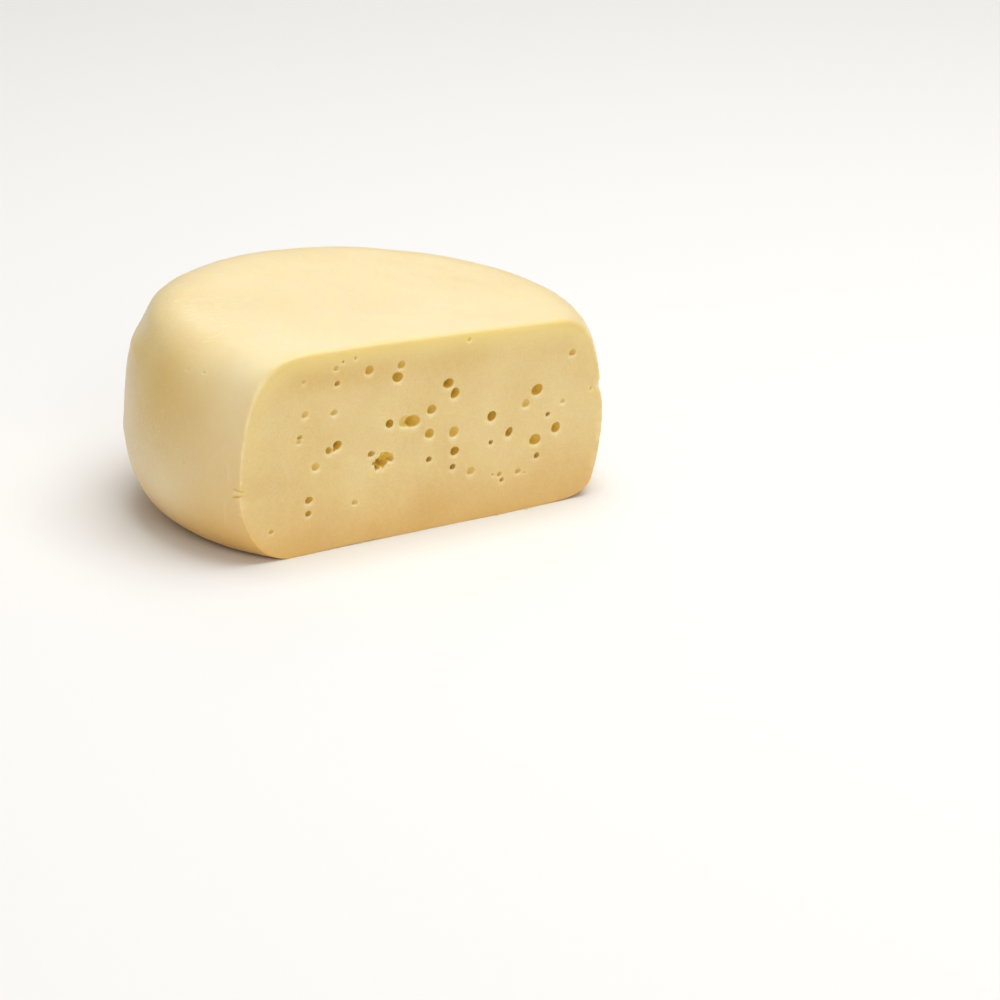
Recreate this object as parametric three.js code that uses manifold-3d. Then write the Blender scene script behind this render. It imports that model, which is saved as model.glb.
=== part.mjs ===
// A baby swiss cheese: a small round wheel with one segment sliced off, resting on its flat foot.
// Millimetres, +Z up. The cut face looks along -Y, and the origin is on the floor under the middle.

import * as THREE from 'three';
import { mergeVertices } from 'three/addons/utils/BufferGeometryUtils.js';
import Module from 'manifold-3d';

// The wheel, before its unevenness
const WHEEL_DIAMETER = 195;
const WHEEL_HEIGHT = 83;
const FOOT_DIAMETER = 150; // the flat patch under the wheel
const BELLY_HEIGHT = 30.5; // the widest ring stands low, because the soft wheel has settled
const SIDE_POWER = 14; // superellipse powers from belly to top: how flat the top stays,
const SHOULDER_POWER = 2.3; // and how upright the side stays

// Unevenness of the wheel. Directions are in degrees round from +X
const TOP_SLOPE = 7.2; // rise of the top at the rim, on the tall side
const TALL_SIDE = 131;
const LEAN = 3.6; // how far the top has moved over from the belly
const LEAN_SIDE = 80;
const SHOULDER_SPREAD = 0.39; // how much squarer the shoulder is on its square side
const SQUARE_SIDE = -33;

// The slice taken off, and a nick in the right-hand edge of the cut
const CUT_OFFSET = 46; // from the wheel's axis to the cut face
const NICK_PLACE = [85.5, 46.5]; // across from the wheel's axis, and above the floor
const NICK_DEPTH = 1.3; // into the side
const NICK_SIZE = { deep: 3, along: 7, high: 3.4 }; // half sizes of the hollow that makes it

// Eyes in the cut face, by kind: the size of the opening, the depth, and the places.
// A place is the distance across from the foot of the wheel's axis and the height above the floor.
const EYES = {
  large: {
    width: 5.1, height: 4.5, depth: 3.4,
    places: [[-13, 66.3], [11, 59.8], [53.3, 50], [52.3, 29], [-6.7, 47.5], [-20.3, 33]],
  },
  medium: {
    width: 4.2, height: 4, depth: 2.9,
    places: [[-26.2, 71.8], [-41.3, 42.8], [14.1, 55.3], [3, 50.2], [31.5, 42.5], [62.5, 32.5]],
  },
  round: {
    width: 3.4, height: 3.3, depth: 2.5,
    places: [[-16.9, 47.9], [13.7, 31], [39.7, 34.4]],
  },
  flat: {
    width: 3.6, height: 2.8, depth: 2,
    places: [[-11.2, 71.2], [-54.5, 22.6], [-17, 34]],
  },
  small: {
    width: 2.7, height: 2.5, depth: 1.9,
    places: [
      [-41.3, 75], [-40.8, 68.5], [-45, 41.6], [-54.9, 17.2], [-25.7, 36.7],
      [1.3, 29.7], [12.8, 24.4], [53.2, 22.1], [-23, 32.8], [-22.1, 31],
    ],
  },
  pin: {
    width: 1.9, height: 1.7, depth: 1,
    places: [
      [-38.1, 77], [-32.3, 77.5], [-58.4, 49.2], [-72, 12.9], [31, 31.6],
      [34.9, 17.3], [36, 14.7], [58.5, 38.7], [21, 76.6],
    ],
  },
  shallow: {
    width: 3.7, height: 3, depth: 1.1,
    places: [
      [-55.9, 58.3], [-42.5, 57], [-51.3, 36], [-10, 48], [1.5, 40.5], [13.3, 39.4],
      [21.5, 21.4], [47.9, 45.2], [70.5, 63], [43.8, 17.1], [-33.3, 18], [-20, 35.5],
    ],
  },
  faint: {
    width: 1.9, height: 1.7, depth: 0.5,
    places: [[-56.2, 71.7], [65.7, 43], [32, 17.8], [-58.6, 47.6], [47, 16], [79.7, 46]],
  },
};

// How finely the surfaces are divided
const WHEEL_SEGMENTS = 84;
const FOOT_STEPS = 7; // from foot to belly
const SHOULDER_STEPS = 16; // from belly to the middle of the top
const EYE_SIDE_LENGTH = 0.95; // of the rim's facets
const MIN_EYE_SIDES = 8;
const SPARE = 20; // how far the cutting block reaches past the wheel

const WHEEL_RADIUS = WHEEL_DIAMETER / 2;
const FOOT_RADIUS = FOOT_DIAMETER / 2;
const CROWN_HEIGHT = WHEEL_HEIGHT - BELLY_HEIGHT; // from belly to top
const CHEESE_COLOUR = '#ecd596';

const wasm = await Module();
wasm.setup();

// Solid of a closed geometry, with its shared vertices merged
function solidOf(geometry) {
  geometry.deleteAttribute('normal');
  geometry.deleteAttribute('uv');
  const merged = mergeVertices(geometry, 1e-3);
  const mesh = new wasm.Mesh({
    numProp: 3,
    vertProperties: new Float32Array(merged.attributes.position.array),
    triVerts: new Uint32Array(merged.index.array),
  });
  return new wasm.Manifold(mesh);
}

// Geometry of a solid, with a normal for each facet
function geometryOf(solid) {
  const mesh = solid.getMesh();
  const indexed = new THREE.BufferGeometry();
  indexed.setAttribute('position', new THREE.BufferAttribute(mesh.vertProperties, 3));
  indexed.setIndex(new THREE.BufferAttribute(mesh.triVerts, 1));
  const geometry = indexed.toNonIndexed();
  geometry.computeVertexNormals();
  return geometry;
}

// Half section of the even wheel, from the middle of the foot to the middle of the top
function wheelProfile() {
  const points = [new THREE.Vector2(0, 0)];
  for (let i = 0; i <= FOOT_STEPS; i += 1) {
    // a quarter of an ellipse from the foot's edge to the belly
    const turn = (Math.PI / 2) * (i / FOOT_STEPS);
    const radius = FOOT_RADIUS + (WHEEL_RADIUS - FOOT_RADIUS) * Math.sin(turn);
    points.push(new THREE.Vector2(radius, BELLY_HEIGHT * (1 - Math.cos(turn))));
  }
  for (let i = 1; i < SHOULDER_STEPS; i += 1) {
    // equal steps in the turn would crowd the belly, so the turn runs faster at first
    const turn = (Math.PI / 2) * Math.sqrt(i / SHOULDER_STEPS);
    const out = Math.cos(turn) ** (2 / SIDE_POWER);
    const up = Math.sin(turn) ** (2 / SHOULDER_POWER);
    points.push(new THREE.Vector2(WHEEL_RADIUS * out, BELLY_HEIGHT + CROWN_HEIGHT * up));
  }
  points.push(new THREE.Vector2(0, WHEEL_HEIGHT));
  return points;
}

// Moves one point of the even wheel to its place on the uneven one
function settle(point) {
  const { degToRad } = THREE.MathUtils;
  const angle = Math.atan2(point.y, point.x);
  const height = point.z;
  let radius = Math.hypot(point.x, point.y);
  if (height > BELLY_HEIGHT) {
    const squareness = Math.exp(SHOULDER_SPREAD * Math.cos(angle - degToRad(SQUARE_SIDE)));
    radius = WHEEL_RADIUS * (radius / WHEEL_RADIUS) ** (1 / squareness);
  }
  const towardsTall = (radius / WHEEL_RADIUS) * Math.cos(angle - degToRad(TALL_SIDE));
  const lean = LEAN * ((height - BELLY_HEIGHT) / CROWN_HEIGHT);
  return point.set(
    radius * Math.cos(angle) + lean * Math.cos(degToRad(LEAN_SIDE)),
    radius * Math.sin(angle) + lean * Math.sin(degToRad(LEAN_SIDE)),
    height * (1 + (TOP_SLOPE / WHEEL_HEIGHT) * towardsTall),
  );
}

// The whole wheel, turned about its axis and then settled
function wheel() {
  const geometry = new THREE.LatheGeometry(wheelProfile(), WHEEL_SEGMENTS);
  geometry.rotateX(Math.PI / 2);
  const positions = geometry.attributes.position;
  const point = new THREE.Vector3();
  for (let i = 0; i < positions.count; i += 1) {
    settle(point.fromBufferAttribute(positions, i));
    positions.setXYZ(i, point.x, point.y, point.z);
  }
  return solidOf(geometry);
}

// The block of space that the knife took away
function slice() {
  const reach = WHEEL_DIAMETER + 2 * SPARE;
  const depth = WHEEL_RADIUS + SPARE - CUT_OFFSET;
  const geometry = new THREE.BoxGeometry(reach, depth, reach);
  geometry.translate(0, -CUT_OFFSET - depth / 2, 0);
  return solidOf(geometry);
}

// One eye: a ball that the cut face opens, at the width, height and depth of its kind
function eye({ width, height, depth }, [across, up]) {
  const rim = (width + height) / 4;
  const radius = (rim ** 2 + depth ** 2) / (2 * depth);
  const sides = Math.max(MIN_EYE_SIDES, Math.round((2 * Math.PI * rim) / EYE_SIDE_LENGTH));
  const geometry = new THREE.SphereGeometry(radius, sides, Math.ceil(sides / 2));
  geometry.scale(width / 2 / rim, 1, height / 2 / rim);
  geometry.translate(across, depth - radius - CUT_OFFSET, up);
  return solidOf(geometry);
}

// The hollow that nicks the side at the cut's right-hand edge
function nick() {
  const [across, up] = NICK_PLACE;
  const geometry = new THREE.SphereGeometry(1, 16, 12);
  geometry.scale(NICK_SIZE.deep, NICK_SIZE.along, NICK_SIZE.high);
  geometry.translate(across - NICK_DEPTH + NICK_SIZE.deep, -CUT_OFFSET, up);
  return solidOf(geometry);
}

// The cheese as one solid, moved so that the origin is under its middle
function cheese() {
  let body = wheel().subtract(slice()).subtract(nick());
  for (const kind of Object.values(EYES)) {
    for (const place of kind.places) {
      body = body.subtract(eye(kind, place));
    }
  }
  const geometry = geometryOf(body);
  geometry.computeBoundingBox();
  const middle = geometry.boundingBox.getCenter(new THREE.Vector3());
  geometry.translate(-middle.x, -middle.y, 0);
  const material = new THREE.MeshStandardMaterial({ color: CHEESE_COLOUR, roughness: 0.5, metalness: 0 });
  const mesh = new THREE.Mesh(geometry, material);
  mesh.name = 'cheese';
  return mesh;
}

const part = new THREE.Group();
part.add(cheese());

export default part;
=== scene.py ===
"""A cut wheel of baby swiss cheese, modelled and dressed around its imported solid.

Sizes are millimetres about the wheel's own axis, with +Z up and the cut looking along -Y.
A mesh is moved to the frame's place and scaled to metres when it is made.
"""

import logging
import math
from dataclasses import dataclass, field
from enum import Enum
from typing import Any

import bmesh
import bpy
import numpy as np
from mathutils import Matrix, Vector
from mathutils.geometry import delaunay_2d_cdt


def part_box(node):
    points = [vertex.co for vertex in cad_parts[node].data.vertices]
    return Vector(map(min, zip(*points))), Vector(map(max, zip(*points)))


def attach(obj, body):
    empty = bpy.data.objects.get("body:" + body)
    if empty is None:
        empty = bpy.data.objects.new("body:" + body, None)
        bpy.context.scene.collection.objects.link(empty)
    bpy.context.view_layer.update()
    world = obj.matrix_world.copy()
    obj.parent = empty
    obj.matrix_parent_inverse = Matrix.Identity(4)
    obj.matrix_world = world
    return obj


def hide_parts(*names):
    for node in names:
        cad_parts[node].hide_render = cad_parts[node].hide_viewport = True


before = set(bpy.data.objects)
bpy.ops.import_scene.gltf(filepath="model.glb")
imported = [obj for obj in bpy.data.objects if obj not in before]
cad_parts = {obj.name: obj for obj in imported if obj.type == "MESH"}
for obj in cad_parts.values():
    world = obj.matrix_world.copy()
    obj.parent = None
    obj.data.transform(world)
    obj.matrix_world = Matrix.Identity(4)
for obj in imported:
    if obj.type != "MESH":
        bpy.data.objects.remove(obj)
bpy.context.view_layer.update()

LOG = logging.getLogger("cheese")
MM = 0.001
NODE = "cheese"
BODY = "root"

TINY = 1e-6  # keeps a quotient finite
CHUNK_ROWS = 700  # about how many places are measured at once, to spare memory
WAVE_SPREAD = (0.7, 1.4)  # shortest and longest wave of a ripple, as shares of its size

INSIDE_ONLY = 1  # asks the triangulation for the faces inside its border

# Sockets of the Mix node when it mixes colours
MIX_FACTOR, MIX_A, MIX_B, MIX_RESULT = 0, 6, 7, 2

# Values that the mesh carries for its finish, one for each vertex
FINISH_VALUES = ("skin", "deep", "glow", "pale", "scuff_and_sheen", "peel", "foot", "floor", "edge_shade_and_band", "warm_shade")

Point = tuple[float, float, float]
Path = tuple[Point, ...]
Curve = tuple[tuple[float, ...], tuple[float, ...]]
Face = tuple[int, ...]
Values = dict[str, np.ndarray]
Sockets = dict[str, bpy.types.NodeSocket]


def linear(hex_colour: str) -> tuple[float, float, float, float]:
    """Turns an sRGB hex colour into a linear one.

    Args:
        hex_colour: Six hex digits after a hash sign.

    Returns:
        Red, green, blue and an alpha of one.
    """
    channels = [int(hex_colour[i : i + 2], 16) / 255 for i in (1, 3, 5)]
    # The curve of the sRGB standard, with its straight foot
    red, green, blue = (v / 12.92 if v <= 0.04045 else ((v + 0.055) / 1.055) ** 2.4 for v in channels)
    return red, green, blue, 1.0


def per_metre(size_mm: float) -> float:
    """Gives the texture scale at which one cell of a pattern measures size_mm."""
    return 1.0 / (size_mm * MM)


def add_node(
    tree: bpy.types.NodeTree,
    kind: str,
    settings: dict[str, Any] | None = None,
    values: dict[str | int, Any] | None = None,
    links: dict[str | int, bpy.types.NodeSocket] | None = None,
) -> bpy.types.Node:
    """Adds a node with its settings, socket values and incoming links.

    Args:
        tree: The node tree that takes the node.
        kind: The node's type name.
        settings: Properties of the node itself.
        values: Values of its input sockets.
        links: Output sockets that feed its input sockets.

    Returns:
        The new node.
    """
    node = tree.nodes.new(kind)
    for name, value in (settings or {}).items():
        setattr(node, name, value)
    for socket, value in (values or {}).items():
        node.inputs[socket].default_value = value
    for socket, source in (links or {}).items():
        tree.links.new(source, node.inputs[socket])
    return node


def new_material(name: str) -> tuple[bpy.types.Material, bpy.types.NodeTree]:
    """Makes a material without nodes.

    Args:
        name: The material's name.

    Returns:
        The material and its empty node tree.
    """
    material = bpy.data.materials.new(name)
    material.use_nodes = True
    material.node_tree.nodes.clear()
    return material, material.node_tree


def add_object(
    name: str, points: np.ndarray, faces: list[Face], material: bpy.types.Material
) -> bpy.types.Object:
    """Makes a smooth mesh object and links it to the scene.

    Args:
        name: The object's name.
        points: Vertices, one row each.
        faces: Faces as indices.
        material: The object's finish.

    Returns:
        The object.
    """
    mesh = bpy.data.meshes.new(name)
    mesh.from_pydata(points.tolist(), [], faces)
    mesh.polygons.foreach_set("use_smooth", np.ones(len(mesh.polygons), dtype=bool))
    mesh.materials.append(material)
    made = bpy.data.objects.new(name, mesh)
    bpy.context.scene.collection.objects.link(made)
    return made


def in_frame(points: np.ndarray) -> np.ndarray:
    """Moves points in millimetres about the foot of the wheel's axis to the frame's place, in metres."""
    low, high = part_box(NODE)
    return points * MM + ((low.x + high.x) / 2, low.y + CutFace.offset * MM, 0)


def no_finish(count: int) -> Values:
    """Finish values of zero for a number of vertices."""
    return {name: np.zeros(count) for name in FINISH_VALUES}


def ripple(points: np.ndarray, size_mm: float, seed: int, waves: int = 28) -> np.ndarray:
    """Smooth random relief, as a sum of plane waves in all directions.

    Args:
        points: Places in millimetres, one row each.
        size_mm: About the mean wavelength.
        seed: Start of the random draws.
        waves: How many plane waves are added.

    Returns:
        One height for each point, with a spread of about one.
    """
    draw = np.random.default_rng(seed)
    ways = unit(draw.normal(size=(waves, 3)))
    lengths = size_mm * draw.uniform(*WAVE_SPREAD, size=(waves, 1))
    phases = draw.uniform(0.0, 2 * math.pi, size=waves)
    return np.cos(points @ (2 * math.pi * ways / lengths).T + phases).sum(axis=1) * math.sqrt(2 / waves)


def bearing(degrees: float) -> np.ndarray:
    """Level unit direction at an angle round from +X."""
    return np.array([math.cos(math.radians(degrees)), math.sin(math.radians(degrees)), 0.0])


def unit(rows: np.ndarray) -> np.ndarray:
    """Scales each row to a length of one."""
    return rows / np.linalg.norm(rows, axis=1, keepdims=True)


def bell(distance: np.ndarray, width: float) -> np.ndarray:
    """Share that falls off smoothly: one at no distance, a little over a third at the width."""
    return np.exp(-((distance / width) ** 2))


def nearest_on_loop(places: np.ndarray, loop: np.ndarray) -> tuple[np.ndarray, np.ndarray]:
    """Distance of places to a closed line, and which of its points starts the nearest stretch.

    Args:
        places: Places in millimetres, one row each.
        loop: The line's points in order, in as many dimensions.

    Returns:
        Distances, and indices of the loop's points.
    """
    step = np.roll(loop, -1, axis=0) - loop
    long = (step**2).sum(axis=1)
    gaps, which = [], []
    for chunk in np.array_split(places, max(1, len(places) // CHUNK_ROWS)):
        away = chunk[:, None, :] - loop[None, :, :]
        share = np.clip((away * step).sum(axis=2) / long, 0, 1)
        gap = np.linalg.norm(away - share[..., None] * step, axis=2)
        which.append(gap.argmin(axis=1))
        gaps.append(gap.min(axis=1))
    return np.concatenate(gaps), np.concatenate(which)


def band(low: list[int], high: list[int]) -> list[Face]:
    """Joins two rings of vertices, of which one may have half as many as the other.

    Args:
        low: Vertices of the lower ring, in order round the axis.
        high: Vertices of the upper ring, in the same order.

    Returns:
        Faces that look outwards.
    """
    if len(low) == len(high):
        return list(zip(low, low[1:] + low[:1], high[1:] + high[:1], high))
    fine, coarse = (low, high) if len(low) > len(high) else (high, low)
    even, odd = fine[::2], fine[1::2]
    faces: list[Face] = list(zip(even, odd, coarse))
    faces += zip(odd, even[1:] + even[:1], coarse[1:] + coarse[:1], coarse)
    return faces if fine is low else [face[::-1] for face in faces]


class EyeForm(Enum):
    """How far the knife opened a gas eye: its depth as a share of the opening's mean width."""

    FULL = 0.8
    DEEP = 0.62
    HALF = 0.54
    BOWL = 0.45
    SHALLOW = 0.36
    FAINT = 0.3
    DISH = 0.24


EyeRows = dict[EyeForm, tuple[tuple[float, float, float, float, float], ...]]

# Eyes: across from the foot of the wheel's axis, above the floor, width, height, and tilt in degrees
EYES: EyeRows = {
    EyeForm.FULL: (
        (-16.8, 47.6, 3.5, 3.4, 15), (-41.1, 42.9, 4.3, 3.7, 25), (11.1, 59.6, 4.9, 4.2, 10),
        (14.2, 55.0, 4.8, 4.0, 50), (31.6, 42.3, 4.5, 4.0, 45), (39.9, 34.1, 4.1, 3.2, 60),
        (1.6, 29.4, 2.4, 2.3, 0), (13.8, 30.7, 4.0, 3.7, 40), (53.3, 21.8, 2.7, 2.5, 20),
        (12.8, 24.2, 2.6, 2.4, 20), (58.7, 38.4, 2.1, 1.9, 10), (31.1, 31.3, 2.2, 2.0, 10),
    ),
    EyeForm.DEEP: (
        (-40.9, 68.4, 2.7, 2.2, 10), (-12.9, 66.3, 5.1, 4.2, -10), (-45.0, 41.4, 3.1, 3.2, 40),
        (-25.5, 36.5, 3.2, 2.5, 5), (-54.6, 22.5, 3.5, 2.8, 10),
        (-54.9, 17.0, 2.9, 2.5, 20), (53.5, 49.7, 5.5, 4.7, 25), (62.6, 32.1, 4.7, 4.1, 55),
        (36.3, 14.5, 2.2, 2.0, 30), (-6.2, 46.6, 5.3, 4.7, 0),
    ),
    EyeForm.HALF: (
        (-58.4, 49.1, 2.5, 1.9, 5), (3.1, 50.1, 4.3, 4.1, 15), (2.0, 40.2, 4.2, 4.0, 15),
        (52.5, 28.7, 5.4, 4.7, 10), (-42.3, 41.3, 2.2, 1.8, 30), (-38.1, 76.9, 1.2, 1.2, 0),
    ),
    EyeForm.BOWL: (
        (-26.0, 71.4, 4.2, 3.9, 15), (-11.1, 71.1, 3.7, 3.4, 10),
        (70.7, 62.5, 3.3, 2.8, 15), (35.2, 17.1, 2.4, 2.2, 30), (-72.0, 12.6, 2.1, 1.8, 10),
        (-32.4, 77.5, 1.5, 1.6, 20), (13.5, 38.9, 4.8, 4.4, 25), (-5.5, 46.7, 6.2, 5.0, -4),
    ),
    EyeForm.SHALLOW: (
        (-55.9, 58.1, 3.2, 2.7, 20), (-42.4, 56.8, 3.6, 2.7, 10), (-58.8, 47.4, 2.4, 1.9, 10),
        (-51.3, 35.8, 3.8, 3.5, 20), (-41.4, 74.7, 2.4, 2.2, 0),
        (21.4, 21.0, 4.0, 3.5, 10), (48.0, 44.8, 3.9, 3.6, 20), (44.1, 16.8, 3.1, 2.5, 20),
        (-33.4, 17.8, 3.0, 2.3, 0), (21.0, 76.4, 2.0, 2.0, 40), (66.0, 42.8, 2.5, 2.1, 20),
    ),
    EyeForm.FAINT: (
        (32.0, 17.6, 2.1, 1.5, 0), (47.1, 15.7, 1.3, 1.2, 0), (-56.3, 71.6, 1.9, 1.8, 30),
        (79.8, 45.8, 1.3, 1.7, -20),
    ),
    EyeForm.DISH: ((-9.1, 47.2, 6.6, 5.0, 0),),
}

# Lobes of the one eye that the knife tore, in the same order
TORN_EYE: EyeRows = {
    EyeForm.BOWL: ((-19.0, 33.9, 7.4, 4.4, -12),),
    EyeForm.HALF: ((-20.9, 32.3, 6.6, 4.4, -8), (-16.7, 33.3, 3.4, 3.2, -25)),
    EyeForm.FULL: ((-20.1, 31.8, 5.2, 3.2, -15), (-22.7, 30.3, 2.8, 2.2, -30), (-24.4, 32.3, 1.6, 1.8, 0)),
}


class MarkKind(Enum):
    """Kinds of small mark: half width, depth (raised below zero) and paleness (darker below zero).

    The darkness of pits and creases is painted shade, and the paleness of a pit's lip a painted highlight.
    """

    PIT = (0.45, 0.35, -0.45)
    PIT_LIP = (0.55, -0.04, 0.35)
    SCRATCH = (0.5, -0.05, 0.42)
    STREAK = (0.5, -0.03, 0.25)
    CREASE = (0.4, 0.38, -0.5)
    FLAKE = (0.55, -0.1, 0.45)


MARK_PATHS: dict[MarkKind, tuple[Path, ...]] = {
    MarkKind.PIT: (((-88.7, -12.1, 73.8),), ((-86.5, -20.6, 74.1),), ((-95.0, -19.0, 38.5),)),
    MarkKind.PIT_LIP: (
        ((-89.5, -11.1, 72.8), (-89.2, -13.4, 72.4), (-88.3, -14.6, 73.5)),
        ((-87.2, -19.7, 73.4), (-86.9, -21.6, 73.0), (-86.1, -22.6, 73.8)),
    ),
    MarkKind.SCRATCH: (
        ((-77.3, -8.5, 83.5), (-75.5, -9.4, 83.8), (-73.3, -9.5, 84.3), (-70.9, -8.6, 84.7)),
        ((-80.3, -8.9, 82.2), (-78.6, -9.9, 82.8), (-77.2, -11.4, 83.2)),
        ((-67.7, -3.8, 85.2), (-64.9, -2.9, 85.4), (-62.6, -2.8, 85.4)),
        ((-57.6, 53.1, 86.1), (-53.8, 53.2, 86.7)),
        ((-66.4, 36.4, 86.1), (-63.0, 35.5, 86.6)),
        ((-67.4, 27.4, 86.2), (-64.7, 26.0, 86.5)),
        ((-70.2, 22.8, 85.9), (-66.6, 21.1, 86.3)),
        ((-75.9, 17.0, 84.7), (-74.9, 16.3, 85.0)),
        ((-60.3, 30.4, 86.8), (-55.6, 30.5, 86.9)),
        ((-72.5, 16.4, 85.6), (-70.0, 16.0, 85.9)),
    ),
    MarkKind.STREAK: (
        ((-88.9, -39.4, 25.9), (-88.5, -38.6, 21.5), (-87.8, -37.8, 17.4)),
        ((-87.7, -40.1, 42.0), (-87.8, -40.6, 38.5), (-88.0, -41.1, 35.3)),
    ),
    MarkKind.CREASE: (
        ((-87.2, -43.6, 32.6), (-85.6, -46.0, 31.7), (-84.2, -46.0, 31.5)),
        ((-87.4, -42.8, 29.0), (-86.4, -44.4, 29.5), (-85.3, -46.0, 29.8)),
    ),
    MarkKind.FLAKE: (
        ((-85.4, -46.0, 35.8), (-85.4, -46.0, 34.9)),
        ((-87.2, -43.5, 31.1), (-86.0, -45.7, 31.3)),
        ((-85.7, -44.8, 22.2), (-85.6, -45.3, 21.7)),
    ),
}


@dataclass(frozen=True)
class Pattern:
    """A noise pattern: the size of its cells in millimetres, and how they are drawn out and turned."""

    cell_mm: float
    stretch: Point = (1.0, 1.0, 1.0)
    turn: Point = (0.0, 0.0, 0.0)
    detail: float = 3.0


@dataclass(frozen=True)
class CheeseFinish:
    """Swiss-style cheese: pressed curd, brined smooth outside and opened with a knife.

    The brined skin gives a soft satin sheen, and the knife leaves the paste a little duller. The fat in it
    lets light run a few millimetres under the surface. On top of that the colour carries painted light and
    shade: a painted glow on thin edges, painted shade that turns the walls of the eyes a deeper yellow and
    the floors of deep eyes, which little light reaches, brown, painted highlights on lips and along the
    upright edges, painted sheen and warm shade in patches, and painted warm bounce light and shade towards
    the foot.
    """

    name: str = "pressed_swiss_curd"
    # Skin and cut paste, each from its palest to its warmest curds
    skin_pale: str = "#f0dcaa"
    skin_warm: str = "#edd69e"
    paste_pale: str = "#eddba3"
    paste_warm: str = "#e4ca8c"
    # Tones laid over them: painted shade on the walls of eyes and in pits and creases, a painted glow on the
    # upper edge of the cut, and pale scratches and scuffed curd with painted highlights and sheen
    hollow_shade_colour: str = "#e4c13d"
    glow_colour: str = "#efd98e"
    pale_colour: str = "#fbf1cd"
    # Tints that deepen what they lie on: painted warm bounce light and shade at the foot, which also tones
    # the band under the upper edge; painted shade on the floors of eyes; painted shade on the rounded edge,
    # which also tones that band; and painted warm shade on the edge and in patches
    foot_bounce_and_band_tint: str = "#f6dcb0"
    eye_floor_shade_tint: str = "#ba9a5e"
    edge_shade_and_band_tint: str = "#f4f1de"
    warm_shade_tint: str = "#faf0cb"
    # Milk fat, in which red and green light run further than blue
    ior: float = 1.46
    scatter_mm: Point = (1.4, 1.25, 0.55)
    skin_roughness: float = 0.33
    paste_roughness: float = 0.5
    # Clouds of tone over the wheel, and the pressed curds
    cloud: Pattern = Pattern(22.0)
    mottle: Pattern = Pattern(3.0)
    # Curd grain, which is finer than this and is drawn coarser so that it shows
    grain: Pattern = Pattern(0.9)
    # Dimples of the brined skin, taller than wide
    peel: Pattern = Pattern(2.4, stretch=(1.0, 1.0, 2.0))
    # Drag lines of the knife, which are finer than this and are drawn coarser so that they show
    drag: Pattern = Pattern(0.9, stretch=(16.0, 1.0, 1.0), turn=(0.0, 14.0, 0.0))
    # Frosted flecks of rubbed skin, also laid as painted sheen low on the left side, which are finer than
    # this and are drawn coarser so that they show
    flecks: Pattern = Pattern(1.1, stretch=(3.0, 1.0, 1.0), turn=(0.0, 0.0, -33.0))
    peel_height_mm: float = 0.26
    drag_height_mm: float = 0.03
    grain_height_mm: float = 0.05
    # Share of each pattern in the blend from pale to warm, and the noise where blend and flecks start and end
    cloud_share: float = 0.5
    mottle_share: float = 0.15
    grain_share: float = 0.35
    blend_range: tuple[float, float] = (0.35, 0.65)
    fleck_range: tuple[float, float] = (0.57, 0.7)

    def patterns(self, tree: bpy.types.NodeTree) -> Sockets:
        """Draws each noise pattern at its size.

        Args:
            tree: The material's node tree.

        Returns:
            Noise by the pattern's name.
        """
        place = add_node(tree, "ShaderNodeTexCoord").outputs["Object"]
        noise = {}
        for name in ("cloud", "mottle", "grain", "peel", "drag", "flecks"):
            pattern: Pattern = getattr(self, name)
            turn = tuple(math.radians(degrees) for degrees in pattern.turn)
            drawn = add_node(
                tree, "ShaderNodeMapping", {"vector_type": "TEXTURE"},
                {"Rotation": turn, "Scale": pattern.stretch}, {"Vector": place},
            ).outputs["Vector"]
            noise[name] = add_node(
                tree, "ShaderNodeTexNoise", None,
                {"Scale": per_metre(pattern.cell_mm), "Detail": pattern.detail}, {"Vector": drawn},
            ).outputs["Fac"]
        return noise

    def curds(self, tree: bpy.types.NodeTree, value: Sockets, noise: Sockets) -> bpy.types.NodeSocket:
        """Blends the patterns into pale and warm curds, on the skin and on the paste.

        Args:
            tree: The material's node tree.
            value: The mesh's finish values.
            noise: Noise by the pattern's name.

        Returns:
            The curds' colour.
        """
        blend = add_node(
            tree, "ShaderNodeMath", {"operation": "MULTIPLY"}, {1: self.grain_share}, {0: noise["grain"]}
        ).outputs[0]
        for name, share in (("mottle", self.mottle_share), ("cloud", self.cloud_share)):
            blend = add_node(
                tree, "ShaderNodeMath", {"operation": "MULTIPLY_ADD"}, {1: share}, {0: noise[name], 2: blend}
            ).outputs[0]
        blend = add_node(
            tree, "ShaderNodeMapRange", None,
            {"From Min": self.blend_range[0], "From Max": self.blend_range[1]}, {"Value": blend},
        ).outputs["Result"]
        skin, paste = (
            add_node(
                tree, "ShaderNodeMix", {"data_type": "RGBA"},
                {MIX_A: linear(light), MIX_B: linear(warm)}, {MIX_FACTOR: blend},
            ).outputs[MIX_RESULT]
            for light, warm in ((self.skin_pale, self.skin_warm), (self.paste_pale, self.paste_warm))
        )
        return add_node(
            tree, "ShaderNodeMix", {"data_type": "RGBA"}, None,
            {MIX_FACTOR: value["skin"], MIX_A: paste, MIX_B: skin},
        ).outputs[MIX_RESULT]

    def colour(self, tree: bpy.types.NodeTree, value: Sockets, noise: Sockets) -> bpy.types.NodeSocket:
        """Lays each tone and tint over the curds, painted light and shade among them.

        Args:
            tree: The material's node tree.
            value: The mesh's finish values.
            noise: Noise by the pattern's name.

        Returns:
            The finished colour.
        """
        # Flecks of rubbed skin, and painted sheen flecks where the left side's patch lays them
        flecks = add_node(
            tree, "ShaderNodeMapRange", None,
            {"From Min": self.fleck_range[0], "From Max": self.fleck_range[1]}, {"Value": noise["flecks"]},
        ).outputs["Result"]
        pale = add_node(
            tree, "ShaderNodeMath", {"operation": "MULTIPLY_ADD", "use_clamp": True}, None,
            {0: flecks, 1: value["scuff_and_sheen"], 2: value["pale"]},
        ).outputs[0]
        colour = self.curds(tree, value, noise)
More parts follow.
